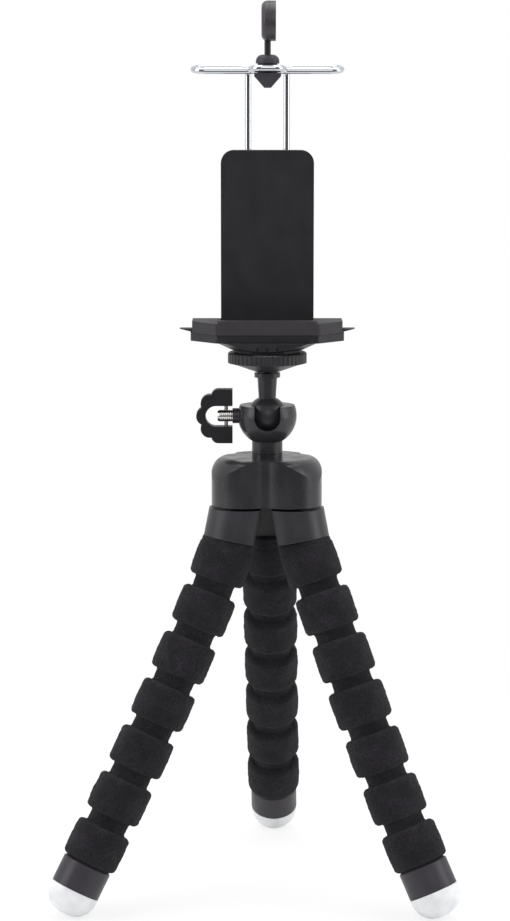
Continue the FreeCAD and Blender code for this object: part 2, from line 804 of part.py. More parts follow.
for side in ("", "- "):
    wing_tip = outline(shelf, "XZ_Plane", [
        (side + "( shelf_half - 1 )", "shelf_wing_low"),
        (side + "shelf_half", "shelf_wing_low"),
        (side + "shelf_wing", "shelf_thick - shelf_wing_top"),
        (side + "( shelf_half - 1 )", "shelf_thick - shelf_wing_top"),
    ], lift="- base_back / 2")
    feature(shelf, "Pad", wing_tip, Length="base_back / 2")

# Wire bow, its sliding block and springs inside the spine

SLOPE = math.asin(size["bow_drop"] / math.hypot(size["bow_drop"], size["bow_front"] + size["rod_behind"]))


def on_bow(x, forward):
    """Point on the sloping plane of the bow, forward of its rear bar."""
    return Vector(x, size["rod_behind"] - forward * math.cos(SLOPE),
                  worth("rod_top") - forward * math.sin(SLOPE))


def on_eye(x, out, rise):
    """Point of the eye that stands out in front of the bow's front bar."""
    return on_bow(x, front) + Vector(0, - out, rise)


front = (size["bow_front"] + size["rod_behind"]) / math.cos(SLOPE)
half_bow = [
    (Vector(size["rod_half"], size["rod_behind"], worth("rod_foot")), None),
    (on_bow(size["rod_half"], 0), size["rod_bend"]),
    (on_bow(worth("bow_half"), 0), front / 2),
    (on_bow(worth("bow_half"), front), front / 2),
    (on_bow(size["eye_mouth"], front), size["eye_tight"]),
    (on_eye(size["eye_side"], size["eye_side_out"], size["eye_side_rise"]), size["eye_side_bend"]),
    (on_eye(size["eye_end"], size["eye_end_out"], size["eye_end_rise"]), size["eye_end_bend"]),
]
whole_bow = half_bow + [(Vector(-p.x, p.y, p.z), bend) for p, bend in reversed(half_bow)]
bow_route = route([p for p, bend in whole_bow], [bend for p, bend in whole_bow[1:-1]])
bow = shaped("bow_wire", pipe(bow_route, size["wire_radius"]))

block = keep(cut(
    box("2 * block_half", "2 * block_half_deep", "block_tall",
        "- block_half", "rod_behind - block_half_deep", "rod_foot - 1"),
    cylinder("wire_radius + seat_gap", "block_tall", "rod_half", "rod_behind", "rod_foot - seat_gap"),
    cylinder("wire_radius + seat_gap", "block_tall", "- rod_half", "rod_behind", "rod_foot - seat_gap"),
), "slide_block")

SPRING_FOOT = "rod_foot - 1 + block_tall + seat_gap"
SPRING_TALL = "base_flat + cavity_top - ( " + SPRING_FOOT + " ) - seat_gap"
coils = []
for side in ("", "- "):
    coils.append(cut(
        cylinder("wire_radius + slide_gap + spring_wall", SPRING_TALL,
                 side + "rod_half", "rod_behind", SPRING_FOOT),
        cylinder("wire_radius + slide_gap", "cavity_top", side + "rod_half", "rod_behind", "rod_foot"),
    ))
keep(fuse(*coils), "clip_springs")

# Rubber plug in the eye of the bow: dome above, hook over the device's front edge

PLUG_Y = "( - bow_front - eye_centre )"
PLUG_FOOT = "rod_top - bow_drop + plug_lift - wire_radius - soft_gap - hook_flange"
DOME_LOW = "eye_end_rise + 2 * wire_radius + soft_gap + hook_flange + plug_dome_low"
plug = turned("hook_plug", [
    ("0", "0"),
    ("hook_half", "0"),
    ("hook_half", "hook_flange"),
    ("plug_radius", "hook_flange"),
    ("plug_radius", DOME_LOW),
    ("plug_dome_radius", DOME_LOW),
    ("plug_dome_radius", DOME_LOW + " + plug_dome_tall", "plug_dome_round"),
    ("0", DOME_LOW + " + plug_dome_tall"),
], y=PLUG_Y, z=PLUG_FOOT)
hook = outline(plug, "XZ_Plane", [
    ("- hook_half", "hook_flange - 1"),
    ("- hook_half / 4", "- hook_drop"),
    ("hook_half / 4", "- hook_drop"),
    ("hook_half", "hook_flange - 1"),
    ("hook_half", "hook_flange"),
    ("- hook_half", "hook_flange"),
], lift="hook_back + " + PLUG_Y)
feature(plug, "Pad", hook, Length="hook_thick")
socket = circles(plug, "XY_Plane", ("0", "0", "post_radius + turn_gap"),
                 lift=DOME_LOW + " + plug_dome_tall - post_sink")
feature(plug, "Pocket", socket, Length="post_sink + 1", Reversed=True)

# Small mirror on a turning post

POST_FOOT = PLUG_FOOT + " + " + DOME_LOW + " + plug_dome_tall - post_sink + seat_gap"
MIRROR_CENTRE = POST_FOOT + " + post_sink + post_tall - post_grip + mirror_radius"
post = keep(cylinder("post_radius", "post_sink + post_tall", "0", PLUG_Y, POST_FOOT), "mirror_post")
shell = turned("mirror_shell", [
    ("0", "glass_thick + seat_gap"),
    ("mirror_radius - mirror_rim", "glass_thick + seat_gap"),
    ("mirror_radius - mirror_rim", "0"),
    ("mirror_radius", "0"),
    ("mirror_radius", "mirror_thick", "mirror_dome"),
    ("0", "mirror_thick"),
], x="mirror_shift + mirror_thick / 2", y=PLUG_Y, z=MIRROR_CENTRE, turn=ALONG_X.inverted())
post_hole = circles(shell, "YZ_Plane", ("0", "mirror_thick / 2 + mirror_shift", "post_radius + seat_gap"),
                    lift="- mirror_radius - 1")
feature(shell, "Pocket", post_hole, Length="1 + post_grip + seat_gap", Reversed=True)
keep(cylinder("mirror_radius - mirror_rim - seat_gap", "glass_thick",
              "mirror_shift + mirror_thick / 2 - glass_thick", PLUG_Y, MIRROR_CENTRE, ALONG_X),
     "mirror_glass")

# Legs: each hangs from a pin, and its foam beads bend at the grooves


def leg_frame(azimuth, splay, origin):
    """Placement with local -Z along the leg, local Y outward and local X its hinge axis."""
    across = Vector(-math.sin(azimuth), math.cos(azimuth), 0)
    facing = Rotation(Vector(0, 0, 1), math.degrees(azimuth) - 90)
    turn = Rotation(across, -math.degrees(splay)).multiply(facing)
    return Placement(origin, turn)


def chain(azimuth, splays, groove):
    """Placements of the cuff, the beads, the end cap and the foot down one leg."""
    outward = Vector(math.cos(azimuth), math.sin(azimuth), 0)

    def along(splay):
        return outward * math.sin(splay) - Vector(0, 0, math.cos(splay))

    tilt = math.radians(size["cuff_tilt"])
    shift = size["leg_offset"] - size["pin_offset"]
    spot = outward * size["pin_offset"] + Vector(0, 0, size["hub_base"] + size["pin_rise"])
    spot += (outward * math.cos(tilt) + Vector(0, 0, math.sin(tilt))) * shift
    spot += along(tilt) * size["cuff_reach"]
    places = [leg_frame(azimuth, tilt, spot)]
    bends = []
    before = tilt
    for number, splay in enumerate(splays):
        half = (groove if number else size["first_groove"]) / 2
        spot += along(before) * half
        bends.append(Vector(spot))
        spot += along(splay) * (half + size["bead_tall"] / 2)
        places.append(leg_frame(azimuth, splay, spot))
        spot += along(splay) * (size["bead_tall"] / 2)
        before = splay
    spot += along(before) * size["soft_gap"]
    places.append(leg_frame(azimuth, before, spot))
    spot += along(before) * (size["cap_tall"] + size["seat_gap"])
    places.append(leg_frame(azimuth, before, spot))
    low = spot.z - (size["foot_tall"] - size["foot_round"]) * math.cos(before)
    low -= (size["foot_radius"] - size["foot_round"]) * math.sin(before) + size["foot_round"]
    return places, bends, low


def leg_splays(first, last, curl, lean):
    return [math.radians(first + lean + (last - first) * (i / (BEADS - 1)) ** curl) for i in range(BEADS)]


def grounded(azimuth, first, last, curl, groove):
    """Splays that bring the foot to the floor: the whole leg leans until it rests there."""
    high, low = 40.0, -25.0
    for _ in range(50):
        lean = (high + low) / 2
        if chain(azimuth, leg_splays(first, last, curl, lean), groove)[2] > 0:
            high = lean
        else:
            low = lean
    return leg_splays(first, last, curl, lean)


CUFF_TOP = ("( cuff_reach * cos( cuff_tilt ) - pin_rise - cuff_gap"
            " - ( leg_offset - pin_offset ) * sin( cuff_tilt ) ) / cos( cuff_tilt )")
SIDE_SLOPE = "( cuff_inner - 2 * cuff_split / sqrt( 3 ) ) * sqrt( 3 )"
OUT = "3 * lobe_radius"


def cuff_body(label, place):
    """Sector shaped cuff with the hinge knuckle above and the foam socket below."""
    body = keep(doc.addObject("PartDesign::Body", label), label)
    body.Placement = place
    lobe_sketch = circles(body, "XY_Plane", ("0", "lobe_offset - leg_offset", "lobe_radius - cuff_step"))
    feature(body, "Pad", lobe_sketch, Length="cuff_reach")
    apex = "2 * cuff_split / sqrt( 3 ) - leg_offset"
    sector = outline(body, "XY_Plane", [
        ("- " + OUT, apex + " + " + OUT + " / sqrt( 3 )"),
        ("- " + SIDE_SLOPE, "cuff_inner - leg_offset"),
        (SIDE_SLOPE, "cuff_inner - leg_offset"),
        (OUT, apex + " + " + OUT + " / sqrt( 3 )"),
        (OUT, "- 2 * " + OUT),
        ("- " + OUT, "- 2 * " + OUT),
    ])
    feature(body, "Pocket", sector, Length="2 * cuff_reach", Midplane=True)
    top = outline(body, "YZ_Plane", [
        ("- 2 * lobe_radius", CUFF_TOP + " + 2 * lobe_radius * tan( cuff_tilt )"),
        ("2 * lobe_radius", CUFF_TOP + " - 2 * lobe_radius * tan( cuff_tilt )"),
        ("2 * lobe_radius", "2 * cuff_reach"),
        ("- 2 * lobe_radius", "2 * cuff_reach"),
    ])
    feature(body, "Pocket", top, Length="4 * lobe_radius", Midplane=True)
    knuckle = outline(body, "YZ_Plane", [
        ("pin_offset - leg_offset - knuckle_radius", "cuff_reach / 2"),
        ("pin_offset - leg_offset + knuckle_radius", "cuff_reach / 2"),
        ("pin_offset - leg_offset + knuckle_radius", "cuff_reach + knuckle_radius", "knuckle_radius * 0.99"),
        ("pin_offset - leg_offset - knuckle_radius", "cuff_reach + knuckle_radius", "knuckle_radius * 0.99"),
    ])
    feature(body, "Pad", knuckle, Length="2 * knuckle_half", Midplane=True)
    hole = circles(body, "YZ_Plane", ("pin_offset - leg_offset", "cuff_reach", "pin_radius + turn_gap"))
    feature(body, "Pocket", hole, Length="4 * knuckle_half", Midplane=True)
    socket = circles(body, "XY_Plane", ("0", "0", "tube_radius + soft_gap"))
    feature(body, "Pocket", socket, Length="cuff_socket", Reversed=True)
    grip = circles(body, "XY_Plane", ("0", "0", "core_radius + seat_gap"))
    feature(body, "Pocket", grip, Length="core_grip", Reversed=True)


def set_down(body, place):
    """Bodies of a leg take their place from the leg's chain."""
    for name in ("x", "y", "z"):
        body.setExpression(f"Placement.Base.{name}", None)
    body.Placement = place


pins = []
for side, (azimuth, first, last, curl) in LEGS.items():
    angle = math.radians(azimuth + size["hub_turn"])
    groove = size[side + "_groove"]
    places, bends, low = chain(angle, grounded(angle, first, last, curl, groove), groove)
    cuff_place, bead_places, cap_place, foot_place = places[0], places[1:-2], places[-2], places[-1]
    cuff_body(side + "_cuff", cuff_place)
    for number, place in enumerate(bead_places, 1):
        set_down(turned(f"{side}_bead_{number}", [
            ("tube_radius + soft_gap", "- bead_tall / 2"),
            ("bead_radius", "- bead_tall / 2", "bead_round"),
            ("bead_radius", "bead_tall / 2", "bead_round"),
            ("tube_radius + soft_gap", "bead_tall / 2"),
        ]), place)
    set_down(turned(side + "_end_cap", [
        ("0", "- cap_socket"),
        ("tube_radius + soft_gap", "- cap_socket"),
        ("tube_radius + soft_gap", "0"),
        ("cap_radius - cap_edge", "0"),
        ("cap_radius", "- cap_edge"),
        ("cap_radius", "- cap_tall"),
        ("foot_plug_radius + seat_gap", "- cap_tall"),
        ("foot_plug_radius + seat_gap", "seat_gap + foot_plug_tall - cap_tall"),
        ("0", "seat_gap + foot_plug_tall - cap_tall"),
    ]), cap_place)
    set_down(turned(side + "_foot", [
        ("0", "- foot_tall"),
        ("foot_radius", "- foot_tall", "foot_round"),
        ("foot_radius", "0"),
        ("foot_plug_radius", "0"),
        ("foot_plug_radius", "foot_plug_tall"),
        ("0", "foot_plug_tall"),
    ]), foot_place)
    tips = {}
    for name, up in (("tube", size["cuff_socket"] - size["soft_gap"]),
                     ("core", size["core_grip"] - size["seat_gap"])):
        start = cuff_place.multVec(Vector(0, 0, up))
        end = cap_place.multVec(Vector(0, 0, size["soft_gap"] - size["cap_socket"]))
        corners = [start, *bends, end]
        radii = []
        for i in range(1, len(corners) - 1):
            before = (corners[i] - corners[i - 1]).getAngle(corners[i + 1] - corners[i])
            trim = 0.45 * (size["first_groove"] if i == 1 else groove)
            radii.append(trim / math.tan(before / 2) if before > 1e-4 else None)
        tips[name] = route(corners, radii)
    core = pipe(tips["core"], size["core_radius"])
    shaped(side + "_core_wire", core)
    bore = pipe(tips["tube"], size["core_radius"] + size["seat_gap"])
    shaped(side + "_foam_tube", pipe(tips["tube"], size["tube_radius"]).cut(bore))
    pin = cylinder("pin_radius", "2 * pin_half")
    centre = Vector(math.cos(angle), math.sin(angle), 0) * size["pin_offset"]
    centre.z = size["hub_base"] + size["pin_rise"]
    across = Vector(-math.sin(angle), math.cos(angle), 0)
    pin.setExpression("Placement.Base.z", None)
    for name in ("x", "y"):
        pin.setExpression(f"Placement.Base.{name}", None)
    pin.Placement = Placement(centre - across * size["pin_half"], Rotation(Vector(0, 0, 1), across))
    pins.append(pin)
keep(fuse(*pins), "hinge_pins")

# Recompute, check every object, then write one file for each sub-part

doc.recompute()
for thing in doc.Objects:
    if "Invalid" in thing.State or "Error" in thing.State:
        raise ValueError(f"{thing.Label} failed: {thing.State}")
os.makedirs("parts", exist_ok=True)
for piece in pieces:
    shape = piece.Shape
    if shape.isNull() or not shape.isValid():
        raise ValueError(f"{piece.Label} has no valid shape")
    shape.exportStep(os.path.join("parts", piece.Label + ".step"))
print(len(pieces), "sub-parts written")
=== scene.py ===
import json
import math

import bpy
from mathutils import Matrix, Vector, noise


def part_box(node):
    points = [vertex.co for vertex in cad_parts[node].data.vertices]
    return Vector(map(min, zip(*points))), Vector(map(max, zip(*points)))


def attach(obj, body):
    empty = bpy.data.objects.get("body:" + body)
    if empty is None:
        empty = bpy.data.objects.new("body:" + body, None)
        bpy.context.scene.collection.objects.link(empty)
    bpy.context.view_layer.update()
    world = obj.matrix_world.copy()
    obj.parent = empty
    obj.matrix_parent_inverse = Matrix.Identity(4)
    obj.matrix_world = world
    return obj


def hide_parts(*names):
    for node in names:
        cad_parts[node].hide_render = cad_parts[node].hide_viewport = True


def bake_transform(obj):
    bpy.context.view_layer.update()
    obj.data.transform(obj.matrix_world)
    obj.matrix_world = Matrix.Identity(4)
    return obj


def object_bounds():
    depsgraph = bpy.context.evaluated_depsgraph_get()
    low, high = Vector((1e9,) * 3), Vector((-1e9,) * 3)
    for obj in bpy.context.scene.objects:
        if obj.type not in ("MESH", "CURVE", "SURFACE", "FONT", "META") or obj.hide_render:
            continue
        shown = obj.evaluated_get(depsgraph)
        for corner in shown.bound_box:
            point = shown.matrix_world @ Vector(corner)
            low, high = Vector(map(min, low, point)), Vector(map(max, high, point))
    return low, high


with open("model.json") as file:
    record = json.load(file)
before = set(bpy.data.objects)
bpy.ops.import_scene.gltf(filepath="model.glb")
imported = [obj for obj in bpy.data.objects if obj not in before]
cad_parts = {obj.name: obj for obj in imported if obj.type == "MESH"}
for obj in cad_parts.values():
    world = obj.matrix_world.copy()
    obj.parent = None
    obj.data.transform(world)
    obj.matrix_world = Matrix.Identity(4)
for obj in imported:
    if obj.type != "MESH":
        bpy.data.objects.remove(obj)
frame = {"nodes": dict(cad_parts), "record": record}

cad_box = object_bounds()
nodes = frame["nodes"]
joints = {joint["name"]: joint for joint in frame["record"]["behaviour"]["joints"]}
scene = bpy.context.scene
MM = 0.001

# Leg sizes, near those of the CAD model: beads a little wider and less rounded, sockets less deep

BEADS = 7
BEAD_RADIUS = 8.7 * MM
BEAD_TALL = 11.8 * MM
BEAD_ROUND = 1.5 * MM
TUBE_RADIUS = 6.3 * MM
CORE_RADIUS = 1.6 * MM
CUFF_TILT = math.radians(12.5)
CUFF_SOCKET = 3.8 * MM
CAP_SOCKET = 5.2 * MM

# Leg sizes in the scene alone; a fuzz layer is (millimetres deep, millimetres across)

CORE_GAP = 0.05 * MM
CORE_THINNER = 0.01 * MM
CORE_ROOT = 4.5 * MM
END_HOLLOW = 0.3 * MM
NECK_OVERLAP = 0.28 * MM
FIRST_TRIM = 0.3 * MM
LIP_REACH = 0.9 * MM
LIP_INSIDE = 0.35 * MM
FLARE = 0.7 * MM
BEAD_FUZZ = ((0.16, 3.1), (0.13, 0.8), (0.1, 0.4))
NECK_FUZZ = ((0.12, 2.3), (0.1, 0.6))

# Materials


def material(name, color, **sockets):
    """New material with one Principled shader; returns the material, its node tree and the shader."""
    made = bpy.data.materials.new(name)
    made.use_nodes = True
    tree = made.node_tree
    shader = tree.nodes["Principled BSDF"]
    shader.inputs["Base Color"].default_value = (*color, 1)
    for socket, value in sockets.items():
        shader.inputs[socket.replace("_", " ")].default_value = value
    return made, tree, shader


def add(tree, kind, **settings):
    """New shader node; settings that name an input set it, the others are the node's own."""
    node = tree.nodes.new("ShaderNode" + kind)
    for key, value in settings.items():
        title = key.replace("_", " ")
        if title in node.inputs:
            node.inputs[title].default_value = value
        else:
            setattr(node, key, value)
    return node


def where(tree, stretch=(1, 1, 1)):
    """Object coordinates in metres, stretched along the axes for grain that runs one way."""
    place = add(tree, "TexCoord")
    mapping = add(tree, "Mapping")
    mapping.inputs["Scale"].default_value = stretch
    tree.links.new(place.outputs["Object"], mapping.inputs["Vector"])
    return mapping.outputs["Vector"]


def noise_of(tree, vector, size, detail=3.0, rough=0.5):
    """Noise whose features are about this many millimetres across."""
    node = add(tree, "TexNoise", Scale=1 / (size * MM), Detail=detail, Roughness=rough)
    tree.links.new(vector, node.inputs["Vector"])
    return node.outputs["Fac"]


def spread(tree, factor, low, high, start=0.3, end=0.7):
    """Maps a factor to the range low to high."""
    node = add(tree, "MapRange", From_Min=start, From_Max=end, To_Min=low, To_Max=high)
    tree.links.new(factor, node.inputs["Value"])
    return node.outputs["Result"]


def shades(tree, factor, *stops):
    """Colour ramp through (position, colour) stops."""
    ramp = add(tree, "ValToRGB")
    elements = ramp.color_ramp.elements
    while len(elements) < len(stops):
        elements.new(0.5)
    for element, (position, color) in zip(elements, stops):
        element.position = position
        element.color = (*color, 1)
    tree.links.new(factor, ramp.inputs["Fac"])
    return ramp.outputs["Color"]


def bumps(tree, shader, *heights, edge=0.0):
    """Bump from (height, millimetres deep) pairs, over softly rounded edges where an edge radius is given."""
    normal = None
    if edge:
        rounding = add(tree, "Bevel", samples=6, Radius=edge * MM)
        normal = rounding.outputs["Normal"]
    for height, deep in heights:
        node = add(tree, "Bump", Strength=1.0, Distance=deep * MM)
        tree.links.new(height, node.inputs["Height"])
        if normal is not None:
            tree.links.new(normal, node.inputs["Normal"])
        normal = node.outputs["Normal"]
    tree.links.new(normal, shader.inputs["Normal"])


def scaled(color, factor):
    """Colour made lighter or darker."""
    return tuple(min(1, value * factor) for value in color)


def plastic(name, color, rough=0.36, grain=0.006, gloss=0.5, edge=0.25, wave=0.03):
    """Moulded plastic: faint mottling, fingerprints in the gloss and a fine spark-eroded grain."""
    made, tree, shader = material(name, color, Roughness=rough, Specular_IOR_Level=gloss)
    spot = where(tree)
    broad = noise_of(tree, spot, 9, 2)
    smear = noise_of(tree, where(tree, (1, 1, 0.6)), 5, 2)
    fine = noise_of(tree, spot, 0.22, 2)
    tree.links.new(shades(tree, broad, (0.3, scaled(color, 0.88)), (0.7, scaled(color, 1.13))),
                   shader.inputs["Base Color"])
    tree.links.new(spread(tree, smear, rough - 0.06, rough + 0.09), shader.inputs["Roughness"])
    bumps(tree, shader, (fine, grain), (broad, wave), edge=edge)
    return made


def foam(name):
    """Open-celled foam with a fuzzy sheen: patches of random tone, with painted shade in the sunken pores and
    painted light on the raised cell walls.
    """
    color = (0.0135, 0.0122, 0.0152)
    made, tree, shader = material(name, color, Roughness=0.95, Specular_IOR_Level=0.12, Sheen_Weight=0.04,
                                  Sheen_Roughness=0.6)
    spot = where(tree)
    cells = add(tree, "TexVoronoi", Scale=1 / (0.42 * MM), Randomness=1.0)
    tree.links.new(spot, cells.inputs["Vector"])
    lumps = noise_of(tree, spot, 0.5, 4, 0.7)
    patches = noise_of(tree, spot, 6, 3)
    pore_shade_and_tone = add(tree, "Math", operation="MULTIPLY")
    tree.links.new(lumps, pore_shade_and_tone.inputs[0])
    tree.links.new(spread(tree, patches, 0.85, 1.15), pore_shade_and_tone.inputs[1])
    # Painted shade and light: the colour follows the pitted bump, darker in the pores and lighter on the cell
    # walls, with random patches over it
    tree.links.new(shades(tree, pore_shade_and_tone.outputs["Value"], (0.3, scaled(color, 0.45)), (0.52, color),
                          (0.72, scaled(color, 2.1))), shader.inputs["Base Color"])
    bumps(tree, shader, (lumps, 0.35), (cells.outputs["Distance"], 0.12))
    return made


def rubber(name, color, rough, grain=0.02, band=0.0):
    """Moulded rubber; band gives the grained stripe of fine horizontal lines."""
    made, tree, shader = material(name, color, Roughness=rough, Specular_IOR_Level=0.4)
    spot = where(tree)
    broad = noise_of(tree, spot, 5, 3)
    fine = noise_of(tree, spot, 0.3, 3)
    tree.links.new(shades(tree, broad, (0.3, scaled(color, 0.9)), (0.7, scaled(color, 1.08))),
                   shader.inputs["Base Color"])
    tree.links.new(spread(tree, fine, rough - 0.05, rough + 0.08), shader.inputs["Roughness"])
    heights = [(fine, grain)]
    if band:
        heights.append((noise_of(tree, where(tree, (0.12, 1, 1)), 0.5, 3, 0.7), band))
    bumps(tree, shader, *heights, edge=0.25)
    return made


def metal(name, color, rough, brushed=(1, 1, 1), scratch=0.004, edge=0.12):
    """Plated or turned metal with a faint haze and fine scratches along one way."""
    made, tree, shader = material(name, color, Metallic=1.0, Roughness=rough)
    haze = noise_of(tree, where(tree), 3, 3)
    lines = noise_of(tree, where(tree, brushed), 0.35, 3, 0.6)
    tree.links.new(shades(tree, haze, (0.3, scaled(color, 0.94)), (0.7, color)), shader.inputs["Base Color"])
    tree.links.new(spread(tree, lines, rough * 0.7, rough * 1.5), shader.inputs["Roughness"])
    bumps(tree, shader, (lines, scratch), edge=edge)
    return made


hub_plastic = plastic("hub_plastic", (0.019, 0.018, 0.021), 0.27, 0.002, 0.42, 0.0, 0.012)
head_plastic = plastic("head_plastic", (0.021, 0.02, 0.0235), 0.3, 0.003, 0.4, 0.3)
cuff_plastic = plastic("cuff_plastic", (0.022, 0.0205, 0.025), 0.4, 0.004, 0.35, 0.3)
knob_plastic = plastic("knob_plastic", (0.0125, 0.0115, 0.0145), 0.42, 0.006, 0.3, 0.3)
disc_plastic = plastic("disc_plastic", (0.018, 0.017, 0.0205), 0.42, 0.006, 0.35, 0.15)
clip_plastic = plastic("clip_plastic", (0.013, 0.012, 0.015), 0.44, 0.008, 0.35, 0.25)
inner_plastic = plastic("inner_plastic", (0.02, 0.02, 0.021), 0.5, 0.006, 0.35, 0.15)
cap_plastic = plastic("cap_plastic", (0.029, 0.026, 0.032), 0.4, 0.004, 0.35, 0.2)
mirror_plastic = plastic("mirror_plastic", (0.036, 0.032, 0.037), 0.36, 0.004, 0.4, 0.2)
foam_black = foam("foam_black")
shelf_rubber = rubber("shelf_rubber", (0.025, 0.022, 0.026), 0.6, 0.03, 0.12)
plug_rubber = rubber("plug_rubber", (0.034, 0.032, 0.04), 0.5)
pad_rubber = rubber("pad_rubber", (0.012, 0.0115, 0.013), 0.55)
foot_rubber = rubber("foot_rubber", (0.71, 0.72, 0.735), 0.35, 0.008)
bow_chrome = metal("bow_chrome", (0.62, 0.64, 0.67), 0.1, scratch=0.0, edge=0.0)
thread_chrome = metal("thread_chrome", (0.72, 0.69, 0.66), 0.14, scratch=0.0, edge=0.0)
steel = metal("steel", (0.56, 0.56, 0.57), 0.3, (1, 1, 0.1))
# Painted shade: the camera screw is near-black so that the gap between the lock disc and the collar reads as
# a dark shaded seam
gap_shade_steel = metal("gap_shade_steel", (0.05, 0.05, 0.055), 0.35, (1, 1, 0.1))
brass = metal("brass", (0.72, 0.57, 0.3), 0.28)
mirror_face = metal("mirror_face", (0.9, 0.9, 0.92), 0.03, scratch=0.0, edge=0.0)

FINISH = {
    "hub": hub_plastic, "ball_socket": head_plastic, "ball_stud": head_plastic, "wing_knob": knob_plastic,
    "lock_disc": disc_plastic, "clip_base": clip_plastic, "back_cover": clip_plastic, "hub_bolt": steel,
    "hinge_pins": steel, "clamp_screw": thread_chrome, "knob_pin": steel, "clamp_shoe": brass,
    "camera_screw": gap_shade_steel, "disc_pad": pad_rubber, "cover_screws": steel, "thread_insert": brass,
    "shelf_pad": shelf_rubber, "clip_springs": steel, "bow_wire": bow_chrome, "slide_block": inner_plastic,
    "hook_plug": plug_rubber, "mirror_post": knob_plastic, "mirror_shell": mirror_plastic,
    "mirror_glass": mirror_face,
}
LEG_FINISH = {"cuff": cuff_plastic, "end_cap": cap_plastic, "foot": foot_rubber, "core_wire": steel}
for name, node in nodes.items():
    part = name.partition("_")[2]
    finish = FINISH.get(name) or LEG_FINISH.get(part, foam_black)
    for number in range(len(node.material_slots)):
        node.material_slots[number].material = finish

# Mesh helpers


def smooth(piece, angle=38):
    """Smooth shading with edges sharper than the angle kept."""
    for face in piece.data.polygons:
        face.use_smooth = True
    piece.data.set_sharp_from_angle(angle=math.radians(angle))


def grid(name, rings, finish, closed=True, ends=False):
    """Mesh through rings of points; closed joins the last ring to the first, ends caps an open run."""
    count = len(rings[0])
    faces = []
    for i in range(len(rings) if closed else len(rings) - 1):
        here = i * count
        ahead = (i + 1) % len(rings) * count
        for j in range(count):
            beside = (j + 1) % count
            faces.append((here + j, here + beside, ahead + beside, ahead + j))
    if ends:
        faces.append(tuple(reversed(range(count))))
        faces.append(tuple(range((len(rings) - 1) * count, len(rings) * count)))
    mesh = bpy.data.meshes.new(name)
    mesh.from_pydata([point for ring in rings for point in ring], [], faces)
    mesh.validate()
    mesh.materials.append(finish)
    piece = bpy.data.objects.new(name, mesh)
    scene.collection.objects.link(piece)
    smooth(piece)
    return piece


def frame_at(spot, along):
    """Matrix that puts local +Z along a direction at a spot."""
    turn = Vector((0, 0, 1)).rotation_difference(along).to_matrix().to_4x4()
    return Matrix.Translation(spot) @ turn


def lathe(name, profile, place, finish, around=48, closed=True):
    """Turned piece from (radius, height) points; place is a matrix, or a function from height to matrix."""
    angles = [math.tau * k / around for k in range(around)]
    rings = []
    for radius, height in profile:
        matrix, lift = (place(height), 0) if callable(place) else (place, height)
        rings.append([matrix @ Vector((radius * math.cos(angle), radius * math.sin(angle), lift))
                      for angle in angles])
    return grid(name, rings, finish, closed, ends=not closed)


def fuzz(piece, *layers):
    """Moves the points along their normals by noise in (millimetres deep, millimetres across) layers."""
    for vertex in piece.data.vertices:
        push = sum(deep * MM * noise.noise(vertex.co / (across * MM)) for deep, across in layers)
        vertex.co += vertex.normal * push
    piece.data.update()


def eased(value):
    """Smooth step from 0 to 1."""
    value = min(1, max(0, value))
    return value * value * (3 - 2 * value)


def arc(centre, radius, start, end, steps):
    """Points of an arc from one angle to another, in degrees."""
    return [(centre[0] + radius * math.cos(math.radians(start + (end - start) * i / steps)),
             centre[1] + radius * math.sin(math.radians(start + (end - start) * i / steps)))
            for i in range(steps + 1)]


def dense(profile, step):
    """Profile with its long runs divided, for meshes that noise moves."""
    out = []
    for (r0, h0), (r1, h1) in zip(profile, profile[1:]):
        count = max(1, round(math.hypot(r1 - r0, h1 - h0) / step))
        out += [(r0 + (r1 - r0) * i / count, h0 + (h1 - h0) * i / count) for i in range(count)]
    return out + [profile[-1]]


# Foam legs: soft beads that ride on their bodies, and necks that bend between them


def bead(name, centre, along, body, node, trim=0.0):
    """Foam bead; trim shortens the end that presses against a rigid cuff when the leg bends."""
    half = BEAD_TALL / 2
    near = trim - half
    inner = CORE_RADIUS + CORE_GAP
    under = TUBE_RADIUS - 0.4 * MM
    mouth = TUBE_RADIUS + 0.5 * MM
    corner = BEAD_RADIUS - BEAD_ROUND
    profile = [(inner, near + END_HOLLOW), (under, near + 0.25 * MM), (mouth, near)]
    profile += arc((corner, near + BEAD_ROUND), BEAD_ROUND, -84, 0, 7)
    profile += [(BEAD_RADIUS + 0.12 * MM, 0)]
    profile += arc((corner, half - BEAD_ROUND), BEAD_ROUND, 0, 84, 7)
    profile += [(mouth, half), (under, half - 0.25 * MM), (inner, half - END_HOLLOW)]
    piece = lathe(name, dense(profile, 0.5 * MM), frame_at(centre, along), foam_black, 96)
    fuzz(piece, *BEAD_FUZZ)
    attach(piece, body)
    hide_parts(node)


